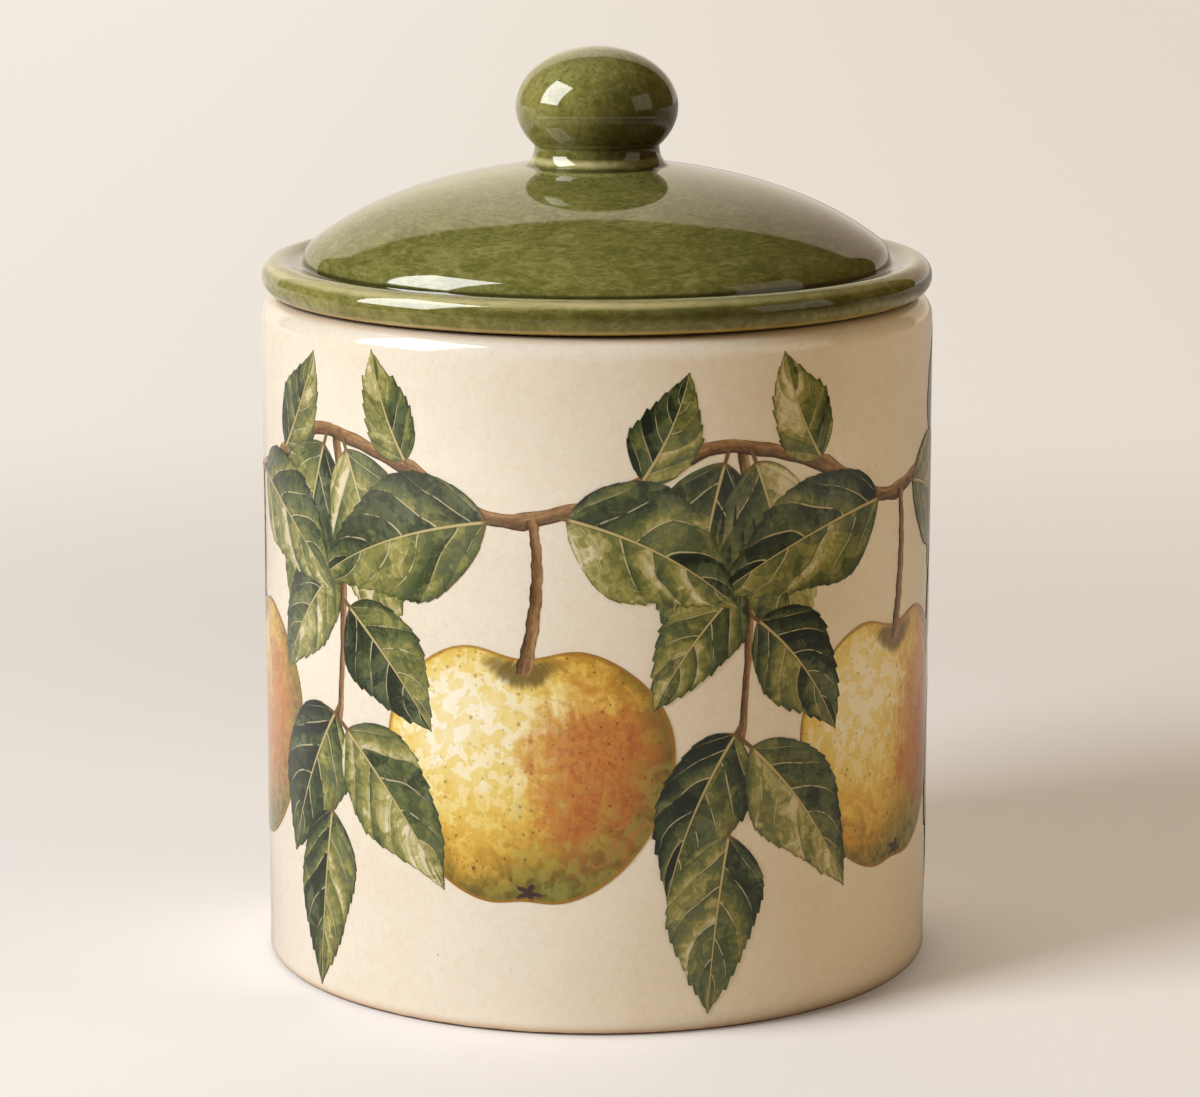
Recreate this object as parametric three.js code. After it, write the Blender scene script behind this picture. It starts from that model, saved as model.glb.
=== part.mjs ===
// A glazed stoneware canister with a domed lift-off lid, for dry food on a kitchen counter.
// Every piece is a revolved section about +Z. Sizes are in millimetres, and the canister stands on z = 0.
// The lid's pieces are drawn in the lid's own frame, whose z = 0 is the plane where it rests on the rim.
import * as THREE from "three";

// Facets round the axis
const RING_SEGMENTS = 64;
const KNOB_SEGMENTS = 48;

// Canister body: a straight slip-cast cylinder with a thickened, in-turned rim
const BODY_RADIUS = 75;
const BODY_HEIGHT = 150.4;
const BODY_WALL = 5.5;
const FLOOR_THICKNESS = 6.5;
const FLOOR_FILLET = 6;
const FOOT_RING_WIDTH = 7;
const FOOT_RECESS_DEPTH = 2.2;
const FOOT_EDGE_RADIUS = 1.8;
const SHOULDER_RADIUS = 4.6;
const RIM_INSET = 3.5;
const COLLAR_HEIGHT = 12;
const COLLAR_EASE_HEIGHT = 7;
const MOUTH_EDGE_RADIUS = 1.5;

// Lid: a rolled flange, a low dome and a locating skirt
const LID_WALL = 5;
const FLANGE_SETBACK = 0.15;
const BEAD_HALF_WIDTH = 3.56;
const BEAD_HALF_HEIGHT = 3.78;
const BEAD_LIFT = 0.46;
const SEAT_SETBACK = 1.8;
const VALLEY_WIDTH = 3.2;
const VALLEY_DEPTH = 0.6;
const VALLEY_DIP = 1.6;
const DOME_FOOT_WIDTH = 4.7;
const DOME_FOOT_ROUNDING = 6;
const DOME_FOOT_SLOPE = THREE.MathUtils.degToRad(84);
const DOME_HEIGHT = 29.2;
const DOME_CENTRE_DEPTH = 12.2;
const SKIRT_GAP = 3.5;
const SKIRT_WALL = 5;
const SKIRT_DEPTH = 12;
const SKIRT_EDGE_RADIUS = 1.5;
const SKIRT_ROOT_RADIUS = 1;
const SKIRT_COVE = 5;
const VENT_RADIUS = 3;

// Knob: a flattened ball on a coved neck, luted to the dome with slip over the vent
const KNOB_RADIUS = 18.1;
const KNOB_HALF_HEIGHT = 13.35;
const KNOB_CENTRE_HEIGHT = 13;
const KNOB_FOOT_RADIUS = 16.4;
const KNOB_FOOT_LIP = 0.3;
const NECK_RADIUS = 13.9;
const NECK_FLARE = 1.1;
const WAIST_HEIGHT = 3.3;
const KNOB_CORE_RADIUS = 7;
const KNOB_CORE_HEIGHT = 18;

// Sealing ring: a silicone band in a groove round the skirt, with two wiping fins
const GROOVE_DEPTH = 1.8;
const GROOVE_HEIGHT = 6.6;
const GROOVE_DROP = 2.7;
const SEAL_CLEARANCE = 0.3;
const BAND_THICKNESS = 2;
const FIN_ROOT = 1.5;
const FIN_TIP = 0.6;
const FIN_RISE = 0.7;

const QUARTER_TURN = Math.PI / 2;

// Radii and heights that more than one piece uses
const cavityRadius = BODY_RADIUS - BODY_WALL;
const mouthRadius = cavityRadius - RIM_INSET;
const skirtRadius = mouthRadius - SKIRT_GAP;
const grooveTop = -GROOVE_DROP;
const grooveBottom = grooveTop - GROOVE_HEIGHT;
const grooveRadius = skirtRadius - GROOVE_DEPTH;

// The dome is part of an ellipse that would spring from the valley behind the flange's bead, but turns
// down over a rounded foot just before it gets there.
const beadRadius = BODY_RADIUS - FLANGE_SETBACK - BEAD_HALF_WIDTH;
const crestHeight = BEAD_LIFT + 2 * BEAD_HALF_HEIGHT;
const valleyRadius = beadRadius - VALLEY_WIDTH;
const valleyHeight = crestHeight - VALLEY_DEPTH;
const domeSemiHeight = DOME_HEIGHT + DOME_CENTRE_DEPTH;
const valleySlice = (valleyHeight + DOME_CENTRE_DEPTH) / domeSemiHeight;
const domeSemiWidth = valleyRadius / Math.sqrt(1 - valleySlice ** 2);
const hollowSemiHeight = domeSemiHeight - LID_WALL;
const hollowSemiWidth = domeSemiWidth - LID_WALL;

// Angle, from the radial direction, of the point at a given radius on an ellipse about the axis.
function angleAtRadius(radius, semiWidth) {
  return Math.acos(radius / semiWidth);
}

function heightOnDome(radius, semiWidth, semiHeight) {
  return semiHeight * Math.sin(angleAtRadius(radius, semiWidth)) - DOME_CENTRE_DEPTH;
}

const landHeight = heightOnDome(KNOB_FOOT_RADIUS, domeSemiWidth, domeSemiHeight);
const shoulderRadius = valleyRadius - DOME_FOOT_WIDTH;

function point(radius, height) {
  return new THREE.Vector2(radius, height);
}

// Points along an ellipse's arc. It turns clockwise where the second angle is the smaller one.
function ellipseArc(radius, height, semiWidth, semiHeight, fromAngle, toAngle, steps) {
  const clockwise = toAngle < fromAngle;
  const curve = new THREE.EllipseCurve(
    radius, height, semiWidth, semiHeight, fromAngle, toAngle, clockwise,
  );
  return curve.getPoints(steps);
}

function roundArc(radius, height, arcRadius, fromAngle, toAngle, steps) {
  return ellipseArc(radius, height, arcRadius, arcRadius, fromAngle, toAngle, steps);
}

// Turns a section, drawn anticlockwise in radius and height, about the vertical axis.
function revolve(name, section, segments, material) {
  const geometry = new THREE.LatheGeometry(section, segments);
  geometry.rotateX(QUARTER_TURN);
  const mesh = new THREE.Mesh(geometry, material);
  mesh.name = name;
  return mesh;
}

// From the middle of the underside out over the foot ring, up the wall, over the rim and down inside
function makeBody() {
  const footOuter = BODY_RADIUS - FOOT_EDGE_RADIUS;
  const footInner = footOuter - FOOT_RING_WIDTH;
  const floorHeight = FOOT_RECESS_DEPTH + FLOOR_THICKNESS;
  const collarBottom = BODY_HEIGHT - COLLAR_HEIGHT;
  const easeMiddle = collarBottom - COLLAR_EASE_HEIGHT / 2;
  const collarEase = new THREE.CubicBezierCurve(
    point(mouthRadius, collarBottom),
    point(mouthRadius, easeMiddle),
    point(cavityRadius, easeMiddle),
    point(cavityRadius, collarBottom - COLLAR_EASE_HEIGHT),
  );
  const section = [
    point(0, FOOT_RECESS_DEPTH),
    point(footInner - FOOT_RECESS_DEPTH, FOOT_RECESS_DEPTH),
    point(footInner, 0),
    ...roundArc(footOuter, FOOT_EDGE_RADIUS, FOOT_EDGE_RADIUS, -QUARTER_TURN, 0, 3),
    ...roundArc(
      BODY_RADIUS - SHOULDER_RADIUS, BODY_HEIGHT - SHOULDER_RADIUS, SHOULDER_RADIUS,
      0, QUARTER_TURN, 5,
    ),
    ...roundArc(
      mouthRadius + MOUTH_EDGE_RADIUS, BODY_HEIGHT - MOUTH_EDGE_RADIUS, MOUTH_EDGE_RADIUS,
      QUARTER_TURN, Math.PI, 3,
    ),
    ...collarEase.getPoints(5),
    ...roundArc(
      cavityRadius - FLOOR_FILLET, floorHeight + FLOOR_FILLET, FLOOR_FILLET,
      0, -QUARTER_TURN, 4,
    ),
    point(0, floorHeight),
  ];
  const creamGlaze = new THREE.MeshStandardMaterial({ color: 0xe9dcc4, roughness: 0.15 });
  return revolve("canister_body", section, RING_SEGMENTS, creamGlaze);
}

// From the vent out under the dome, round the skirt and its groove, over the flange and back to the vent
function makeLid(oliveGlaze) {
  const skirtInner = skirtRadius - SKIRT_WALL;
  const skirtBottom = -SKIRT_DEPTH;
  const coveStart = angleAtRadius(skirtInner - SKIRT_COVE, hollowSemiWidth);
  const coveCorner = heightOnDome(skirtInner, hollowSemiWidth, hollowSemiHeight);
  const hollow = ellipseArc(
    0, -DOME_CENTRE_DEPTH, hollowSemiWidth, hollowSemiHeight,
    angleAtRadius(VENT_RADIUS, hollowSemiWidth), coveStart, 8,
  );
  const cove = new THREE.QuadraticBezierCurve(
    hollow.at(-1),
    point(skirtInner, coveCorner),
    point(skirtInner, coveCorner - SKIRT_COVE),
  );
  const shoulderHeight = heightOnDome(shoulderRadius, domeSemiWidth, domeSemiHeight);
  const shoulderSlope = Math.atan(
    (domeSemiHeight / domeSemiWidth) ** 2 * shoulderRadius / (shoulderHeight + DOME_CENTRE_DEPTH),
  );
  const domeFoot = roundArc(
    shoulderRadius - DOME_FOOT_ROUNDING * Math.sin(shoulderSlope),
    shoulderHeight - DOME_FOOT_ROUNDING * Math.cos(shoulderSlope),
    DOME_FOOT_ROUNDING, QUARTER_TURN - DOME_FOOT_SLOPE, QUARTER_TURN - shoulderSlope, 4,
  );
  const valley = new THREE.CubicBezierCurve(
    point(beadRadius, crestHeight),
    point(beadRadius - VALLEY_WIDTH / 2, crestHeight),
    point(
      domeFoot[0].x + VALLEY_DIP * Math.cos(DOME_FOOT_SLOPE),
      domeFoot[0].y - VALLEY_DIP * Math.sin(DOME_FOOT_SLOPE),
    ),
    domeFoot[0],
  );
  const section = [
    ...hollow,
    ...cove.getPoints(3).slice(1),
    ...roundArc(
      skirtInner + SKIRT_EDGE_RADIUS, skirtBottom + SKIRT_EDGE_RADIUS, SKIRT_EDGE_RADIUS,
      Math.PI, Math.PI + QUARTER_TURN, 3,
    ),
    ...roundArc(
      skirtRadius - SKIRT_EDGE_RADIUS, skirtBottom + SKIRT_EDGE_RADIUS, SKIRT_EDGE_RADIUS,
      -QUARTER_TURN, 0, 3,
    ),
    point(skirtRadius, grooveBottom),
    point(grooveRadius, grooveBottom),
    point(grooveRadius, grooveTop),
    point(skirtRadius, grooveTop),
    ...roundArc(
      skirtRadius + SKIRT_ROOT_RADIUS, -SKIRT_ROOT_RADIUS, SKIRT_ROOT_RADIUS,
      Math.PI, QUARTER_TURN, 2,
    ),
    point(beadRadius - SEAT_SETBACK, 0),
    point(beadRadius - SEAT_SETBACK, BEAD_LIFT),
    ...ellipseArc(
      beadRadius, BEAD_LIFT + BEAD_HALF_HEIGHT, BEAD_HALF_WIDTH, BEAD_HALF_HEIGHT,
      -QUARTER_TURN, QUARTER_TURN, 9,
    ),
    ...valley.getPoints(5).slice(1),
    ...domeFoot.slice(1),
    ...ellipseArc(
      0, -DOME_CENTRE_DEPTH, domeSemiWidth, domeSemiHeight,
      angleAtRadius(shoulderRadius, domeSemiWidth), angleAtRadius(KNOB_FOOT_RADIUS, domeSemiWidth), 9,
    ).slice(1),
    point(VENT_RADIUS, landHeight),
    hollow[0].clone(),
  ];
  return revolve("lid", section, RING_SEGMENTS, oliveGlaze);
}

// From the rim of the blind core out under the foot, up the coved neck, over the ball and down the core
function makeKnob(oliveGlaze) {
  const lipHeight = landHeight + KNOB_FOOT_LIP;
  const waistHeight = landHeight + WAIST_HEIGHT;
  const centreHeight = landHeight + KNOB_CENTRE_HEIGHT;
  const flareRadius = NECK_RADIUS + NECK_FLARE;
  const flareAngle = -angleAtRadius(flareRadius, KNOB_RADIUS);
  const ball = ellipseArc(
    0, centreHeight, KNOB_RADIUS, KNOB_HALF_HEIGHT, flareAngle, QUARTER_TURN, 12,
  );
  const flareSlope = (KNOB_HALF_HEIGHT / KNOB_RADIUS) / Math.tan(-flareAngle);
  const neckRise = ball[0].y - waistHeight;
  const neck = new THREE.CubicBezierCurve(
    point(NECK_RADIUS, waistHeight),
    point(NECK_RADIUS, waistHeight + neckRise / 2),
    point(flareRadius - NECK_FLARE / 2, ball[0].y - flareSlope * NECK_FLARE / 2),
    ball[0].clone(),
  );
  const coreTop = landHeight + KNOB_CORE_HEIGHT;
  const section = [
    point(KNOB_CORE_RADIUS, landHeight),
    point(KNOB_FOOT_RADIUS, landHeight),
    ...ellipseArc(
      KNOB_FOOT_RADIUS, waistHeight, KNOB_FOOT_RADIUS - NECK_RADIUS, waistHeight - lipHeight,
      -QUARTER_TURN, -2 * QUARTER_TURN, 4,
    ),
    ...neck.getPoints(3).slice(1),
    ...ball.slice(1, -1),
    point(0, centreHeight + KNOB_HALF_HEIGHT),
    point(0, coreTop),
    ...roundArc(
      0, coreTop - KNOB_CORE_RADIUS, KNOB_CORE_RADIUS, QUARTER_TURN, 0, 3,
    ).slice(1),
    point(KNOB_CORE_RADIUS, landHeight),
  ];
  return revolve("knob", section, KNOB_SEGMENTS, oliveGlaze);
}

// A flat band in the groove and two upswept fins that stop just short of the mouth
function makeSealingRing() {
  const bandInner = grooveRadius + SEAL_CLEARANCE;
  const bandOuter = bandInner + BAND_THICKNESS;
  const finRadius = mouthRadius - SEAL_CLEARANCE;
  const bottom = grooveBottom + SEAL_CLEARANCE;
  const top = grooveTop - SEAL_CLEARANCE;
  const middle = (bottom + top) / 2;
  const fin = (root) => [
    point(bandOuter, root),
    point(finRadius, root + FIN_RISE),
    point(finRadius, root + FIN_RISE + FIN_TIP),
    point(bandOuter, root + FIN_ROOT),
  ];
  const section = [
    point(bandInner, bottom),
    ...fin(bottom),
    ...fin(middle),
    point(bandOuter, top),
    point(bandInner, top),
    point(bandInner, bottom),
  ];
  const silicone = new THREE.MeshStandardMaterial({ color: 0xdcd8cd, roughness: 0.6 });
  return revolve("lid_gasket", section, RING_SEGMENTS, silicone);
}

const oliveGlazeLook = { color: 0x66702f, roughness: 0.15 };
const lidGroup = new THREE.Group();
lidGroup.position.z = BODY_HEIGHT;
lidGroup.add(
  makeLid(new THREE.MeshStandardMaterial(oliveGlazeLook)),
  makeKnob(new THREE.MeshStandardMaterial(oliveGlazeLook)),
  makeSealingRing(),
);

const canister = new THREE.Group();
canister.add(makeBody(), lidGroup);

export default canister;
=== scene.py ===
import math
import random

import bmesh
import bpy
from mathutils import Matrix, Vector
from mathutils.geometry import interpolate_bezier


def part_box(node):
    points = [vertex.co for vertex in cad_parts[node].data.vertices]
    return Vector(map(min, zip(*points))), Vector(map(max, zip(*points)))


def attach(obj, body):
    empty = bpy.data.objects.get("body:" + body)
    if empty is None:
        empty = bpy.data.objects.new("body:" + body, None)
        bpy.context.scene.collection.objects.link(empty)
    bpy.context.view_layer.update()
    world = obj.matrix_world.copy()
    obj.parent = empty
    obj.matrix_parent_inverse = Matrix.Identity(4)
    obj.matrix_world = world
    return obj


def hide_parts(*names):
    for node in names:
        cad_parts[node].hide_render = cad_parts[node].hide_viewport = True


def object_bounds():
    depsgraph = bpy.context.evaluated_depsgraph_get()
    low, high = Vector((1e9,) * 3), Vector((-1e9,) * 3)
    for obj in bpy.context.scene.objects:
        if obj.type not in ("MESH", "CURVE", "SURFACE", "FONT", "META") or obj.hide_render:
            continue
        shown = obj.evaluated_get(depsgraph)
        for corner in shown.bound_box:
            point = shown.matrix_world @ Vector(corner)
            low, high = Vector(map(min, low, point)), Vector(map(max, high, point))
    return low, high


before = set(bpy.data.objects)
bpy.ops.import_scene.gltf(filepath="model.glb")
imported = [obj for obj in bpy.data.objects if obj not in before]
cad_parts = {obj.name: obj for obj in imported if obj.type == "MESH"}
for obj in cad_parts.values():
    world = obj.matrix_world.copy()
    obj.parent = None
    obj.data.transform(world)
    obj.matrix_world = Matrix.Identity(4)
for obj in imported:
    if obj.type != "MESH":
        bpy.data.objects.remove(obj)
cad_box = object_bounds()

# Canister body: a straight stoneware cylinder, slip-cast with a thickened rim and a foot ring.
# It is dipped in a glossy cream glaze that shows the clay's iron as faint specks, and the foot is
# wiped bare so that it doesn't stick to the kiln shelf.
MM = 0.001
BODY_WALL = 5.5 * MM
FLOOR_THICKNESS = 6.5 * MM
FLOOR_FILLET = 6 * MM
FOOT_RING_WIDTH = 7 * MM
FOOT_RECESS_DEPTH = 2.2 * MM
FOOT_EDGE_RADIUS = 1.8 * MM
FOOT_SOFTENING = 0.5 * MM
SHOULDER_RADIUS = 4.6 * MM
RIM_INSET = 3.5 * MM
COLLAR_HEIGHT = 12 * MM
COLLAR_EASE_HEIGHT = 7 * MM
COLLAR_ROUNDING = 5 * MM
MOUTH_EDGE_RADIUS = 1.5 * MM
QUARTER_STEPS = 64
ARC_STEPS = 10
SUPPORT_GAP = 0.25 * MM
SHORTEST_FLAT = 6 * SUPPORT_GAP
WELD_DISTANCE = 0.001 * MM
SHARP_EDGE = math.radians(50)

body_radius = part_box("canister_body")[1].x
rim_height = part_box("canister_body")[1].z
cavity_radius = body_radius - BODY_WALL
mouth_radius = cavity_radius - RIM_INSET


def rounded_section(corners):
    """Points of a section whose corners, given as radius, height and rounding, are eased by arcs."""
    points = []
    for index, (radius, height, rounding) in enumerate(corners):
        corner = Vector((radius, height))
        if not rounding:
            points.append(corner)
            continue
        before = (Vector(corners[index - 1][:2]) - corner).normalized()
        after = (Vector(corners[(index + 1) % len(corners)][:2]) - corner).normalized()
        half_angle = before.angle(after) / 2
        centre = corner + (before + after).normalized() * rounding / math.sin(half_angle)
        spoke = corner + before * rounding / math.tan(half_angle) - centre
        swing = math.copysign(math.pi - 2 * half_angle, before.x * after.y - before.y * after.x)
        for step in range(ARC_STEPS + 1):
            angle = -swing * step / ARC_STEPS
            turned = Vector((
                spoke.x * math.cos(angle) - spoke.y * math.sin(angle),
                spoke.x * math.sin(angle) + spoke.y * math.cos(angle),
            ))
            points.append(centre + turned)
    return points


def ellipse_points(centre, semi_width, semi_height, from_angle, to_angle, steps):
    """Section corners, without rounding, along part of an ellipse."""
    corners = []
    for step in range(steps + 1):
        angle = from_angle + (to_angle - from_angle) * step / steps
        radius = centre[0] + semi_width * math.cos(angle)
        height = centre[1] + semi_height * math.sin(angle)
        corners.append((radius, height, 0))
    return corners


def turned_piece(name, corners, closed=False):
    """Turns a section about the upright axis, as a quarter that is mirrored twice.

    Points close to each corner keep the shading of the flats true. Corners over SHARP_EDGE stay sharp.
    """
    points = rounded_section(corners)
    ends = points[1:] + points[:1] if closed else points[1:]
    section = []
    for start, end in zip(points, ends):
        section.append(start)
        length = (end - start).length
        if length > SHORTEST_FLAT:
            section.append(start.lerp(end, SUPPORT_GAP / length))
            section.append(end.lerp(start, SUPPORT_GAP / length))
    if not closed:
        section.append(points[-1])
    shape = bmesh.new()
    ring = [shape.verts.new((max(point.x, 0), 0, point.y)) for point in section]
    edges = [shape.edges.new(pair) for pair in zip(ring, ring[1:])]
    if closed:
        edges.append(shape.edges.new((ring[-1], ring[0])))
    bmesh.ops.spin(
        shape, geom=ring + edges, cent=(0, 0, 0), axis=(0, 0, 1), dvec=(0, 0, 0),
        angle=math.pi / 2, steps=QUARTER_STEPS,
    )
    for axis in ("X", "Y"):
        half = shape.verts[:] + shape.edges[:] + shape.faces[:]
        bmesh.ops.mirror(shape, geom=half, matrix=Matrix(), merge_dist=WELD_DISTANCE, axis=axis)
    bmesh.ops.remove_doubles(shape, verts=shape.verts, dist=WELD_DISTANCE)
    bmesh.ops.dissolve_degenerate(shape, edges=shape.edges, dist=WELD_DISTANCE)
    bmesh.ops.recalc_face_normals(shape, faces=shape.faces)
    for edge in shape.edges:
        edge.smooth = edge.calc_face_angle(0) < SHARP_EDGE
    return finished_piece(name, shape)


def finished_piece(name, shape):
    """A smooth-shaded object at the origin that holds the shape."""
    for face in shape.faces:
        face.smooth = True
    mesh = bpy.data.meshes.new(name)
    shape.to_mesh(mesh)
    shape.free()
    piece = bpy.data.objects.new(name, mesh)
    bpy.context.scene.collection.objects.link(piece)
    return piece


class Wire:
    """One output in a material's nodes. Sums on wires add Math nodes to that material."""

    def __init__(self, tree, socket=None):
        self.tree = tree
        self.socket = socket

    def add(self, kind, settings=None, inputs=None, output=0):
        """Adds a node: its settings come first, then the values or wires of its inputs."""
        node = self.tree.nodes.new(kind)
        for name, value in (settings or {}).items():
            if name == "stops":
                while len(node.color_ramp.elements) < len(value):
                    node.color_ramp.elements.new(1)
                for stop, (place, colour) in zip(node.color_ramp.elements, value):
                    stop.position = place
                    stop.color = colour
            else:
                setattr(node, name, value)
        for name, value in (inputs or {}).items():
            if isinstance(value, Wire):
                self.tree.links.new(value.socket, node.inputs[name])
            else:
                node.inputs[name].default_value = value
        return Wire(self.tree, node.outputs[output])

    def feed(self, node, name):
        self.tree.links.new(self.socket, node.inputs[name])

    def math(self, operation, *others):
        return self.add("ShaderNodeMath", {"operation": operation}, dict(enumerate((self, *others))))

    def __add__(self, other):
        return self.math("ADD", other)

    def __sub__(self, other):
        return self.math("SUBTRACT", other)

    def __rsub__(self, other):
        return self.add("ShaderNodeMath", {"operation": "SUBTRACT"}, {0: other, 1: self})

    def __mul__(self, other):
        return self.math("MULTIPLY", other)

    def __truediv__(self, other):
        return self.math("DIVIDE", other)

    def __pow__(self, other):
        return self.math("POWER", other)

    __radd__ = __add__
    __rmul__ = __mul__

    def rise(self, low, high):
        """0 below low, 1 above high, and a smooth step between. It falls where low is the higher one."""
        settings = {"interpolation_type": "SMOOTHSTEP"}
        if low > high:
            return 1 - self.add("ShaderNodeMapRange", settings, {"Value": self, 1: high, 2: low})
        return self.add("ShaderNodeMapRange", settings, {"Value": self, 1: low, 2: high})

    def band(self, middle, half_width):
        """1 at the middle, falling smoothly to 0 at the half-width on both sides."""
        return (self - middle).math("ABSOLUTE").rise(half_width, 0)

    def axes(self):
        """The x, y and z of a vector."""
        parts = self.add("ShaderNodeSeparateXYZ", None, {"Vector": self})
        node = parts.socket.node
        return [Wire(self.tree, output) for output in node.outputs]

    def noise(self, size, detail=3, roughness=0.5, distortion=0):
        """Soft noise from 0 to 1 over these coordinates, with lumps of about that size."""
        inputs = {
            "Vector": self, "Scale": 1 / size, "Detail": detail,
            "Roughness": roughness, "Distortion": distortion,
        }
        return self.add("ShaderNodeTexNoise", None, inputs)

    def cells(self, size):
        """Scattered cells of that size: the distance from the nearest middle, and each cell's chances."""
        distance = self.add("ShaderNodeTexVoronoi", {"feature": "F1"}, {"Vector": self, "Scale": 1 / size})
        return distance, Wire(self.tree, distance.socket.node.outputs["Color"]).axes()

    def tint(self, under, over):
        """Lays the colour over onto the colour under, as much as this wire says."""
        return self.add("ShaderNodeMix", {"data_type": "RGBA"}, {0: self, 6: under, 7: over}, output=2)


def colour(red, green, blue):
    """A display colour, each part up to 255, as the linear colour that shaders use."""
    parts = []
    for part in (red, green, blue):
        share = part / 255
        parts.append(share / 12.92 if share <= 0.04045 else ((share + 0.055) / 1.055) ** 2.4)
    return (*parts, 1)


def new_material(name):
    """A material, its Principled shader, and a wire with the piece's own coordinates."""
    material = bpy.data.materials.new(name)
    material.use_nodes = True
    tree = material.node_tree
    place = Wire(tree).add("ShaderNodeTexCoord", output="Object")
    return material, tree.nodes["Principled BSDF"], place


GLAZE_IOR = 1.6
CREAM = colour(243, 236, 223)
CREAM_WARM = colour(233, 220, 199)
SPECK_BROWN = colour(138, 110, 84)
THIN_OCHRE = colour(184, 136, 78)
BARE_CLAY = colour(178, 142, 116)
BARE_CLAY_DARK = colour(150, 112, 88)
# Painted shade: the dark brown of the foot's contact line, the glaze above the foot and the floor round it.
FOOT_SHADE_BROWN = colour(48, 30, 16)
GLAZE_ROUGHNESS = 0.07
GLAZE_HAZE = 0.03
HAZE_SIZE = 9 * MM
GLAZE_RIPPLE = 0.07 * MM
RIPPLE_SIZE = 18 * MM
PEEL_SIZE = 1.6 * MM
PEEL_DEPTH = 0.0006 * MM
CLAY_ROUGHNESS = 0.85
CLAY_BLOTCH_SIZE = 1.2 * MM
CLAY_GRAIN_SIZE = 0.5 * MM
CLAY_GRAIN_DEPTH = 0.06 * MM
DRIFT_SIZE = 42 * MM
MOTTLE_SIZE = 2.4 * MM
GRAIN_SIZE = 0.9 * MM
SPECK_SPACING = 5.5 * MM
RIM_WARM_DEPTH = 22 * MM
RIM_WARM_END = 4 * MM
RIM_THIN_DEPTH = 1.6 * MM
RIM_THIN_END = 0.3 * MM
FOOT_THIN_HEIGHT = 3 * MM
FOOT_THIN_END = 0.6 * MM
FOOT_SHADE_HEIGHT = 5 * MM
FOOT_SHADE_END = 0.5 * MM
BARE_HEIGHT = 1.2 * MM
BARE_END = 1.0 * MM
BARE_WANDER = 0.7 * MM
WANDER_SIZE = 5 * MM
FOOT_LINE_HEIGHT = 0.9 * MM
FOOT_LINE_END = 0.3 * MM
FOOT_LINE_WIDTH = 1.8 * MM
FOOT_LINE_EASE = 0.4 * MM


def glaze_waves(place, depth, clay=0):
    """The slow ripple and fine orange peel of a fired glaze, or the grain of bare clay, as a normal."""
    ripple = place.noise(RIPPLE_SIZE, 2) * depth + place.noise(PEEL_SIZE, 2) * PEEL_DEPTH
    grain = place.noise(CLAY_GRAIN_SIZE, 4) * CLAY_GRAIN_DEPTH
    waves = ripple + grain * clay
    return place.add("ShaderNodeBump", None, {"Strength": 1, "Distance": 1, "Height": waves})


def bare_clay(place):
    """The blotchy colour of fired clay."""
    return place.noise(CLAY_BLOTCH_SIZE, 4).tint(BARE_CLAY, BARE_CLAY_DARK)


def cream_glaze():
    """Cream glaze with soft drifts and iron specks, thin at the rim and the foot, above a bare foot ring.

    The ochre of the thin rim is partly painted warm shade under the lid. The foot's edge is painted dark
    as contact shade, and so is the glaze just above it on the right.
    """
    material, shader, place = new_material("cream_glaze")
    across, along, height = place.axes()
    radius = (across * across + along * along).math("SQRT")
    drift = place.noise(DRIFT_SIZE, 3, 0.6)
    mottle = place.noise(MOTTLE_SIZE, 5, 0.6, 0.6)
    grain = place.noise(GRAIN_SIZE, 3, 0.6)
    warmth = drift.rise(0.35, 0.75) * 0.45 + mottle.rise(0.4, 0.75) * 0.35 + grain.rise(0.35, 0.7) * 0.3
    warmth = warmth + height.rise(rim_height - RIM_WARM_DEPTH, rim_height - RIM_WARM_END) * 0.2
    glaze = warmth.tint(CREAM, CREAM_WARM)
    from_speck, chances = place.cells(SPECK_SPACING)
    speck = from_speck.rise(0.052, 0.02) * chances[0].rise(0.45, 0.75) * chances[1]
    glaze = (speck * 0.8).tint(glaze, SPECK_BROWN)
    thin_foot = height.rise(FOOT_THIN_HEIGHT, FOOT_THIN_END) * 0.45
    # The rim's ochre is partly glaze breaking on its edge and partly painted warm shade under the lid's
    # bead.
    thin_rim_and_shade = height.rise(rim_height - RIM_THIN_DEPTH, rim_height - RIM_THIN_END) * 0.4
    glaze = (thin_foot + thin_rim_and_shade).tint(glaze, THIN_OCHRE)
    # Painted shade: the glaze darkens towards the foot on the right.
    painted_foot_shade = height.rise(FOOT_SHADE_HEIGHT, FOOT_SHADE_END) * (across / body_radius).rise(-0.2, 0.8) * 0.4
    glaze = painted_foot_shade.tint(glaze, FOOT_SHADE_BROWN)
    edge = height + place.noise(WANDER_SIZE, 3) * BARE_WANDER
    bare = edge.rise(BARE_HEIGHT, BARE_END)
    # Painted contact shade: the foot's outer rounding is darkened where it meets the floor.
    line_start = body_radius - FOOT_LINE_WIDTH
    foot_contact_shade = radius.rise(line_start, line_start + FOOT_LINE_EASE)
    foot_contact_shade = foot_contact_shade * height.rise(FOOT_LINE_HEIGHT, FOOT_LINE_END)
    clay = (foot_contact_shade * 0.95).tint(bare_clay(place), FOOT_SHADE_BROWN)
    bare.tint(glaze, clay).feed(shader, "Base Color")
    roughness = GLAZE_ROUGHNESS + place.noise(HAZE_SIZE, 3) * GLAZE_HAZE
    (roughness + bare * (CLAY_ROUGHNESS - GLAZE_ROUGHNESS)).feed(shader, "Roughness")
    glaze_waves(place, GLAZE_RIPPLE, bare).feed(shader, "Normal")
    shader.inputs["IOR"].default_value = GLAZE_IOR
    return material


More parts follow.
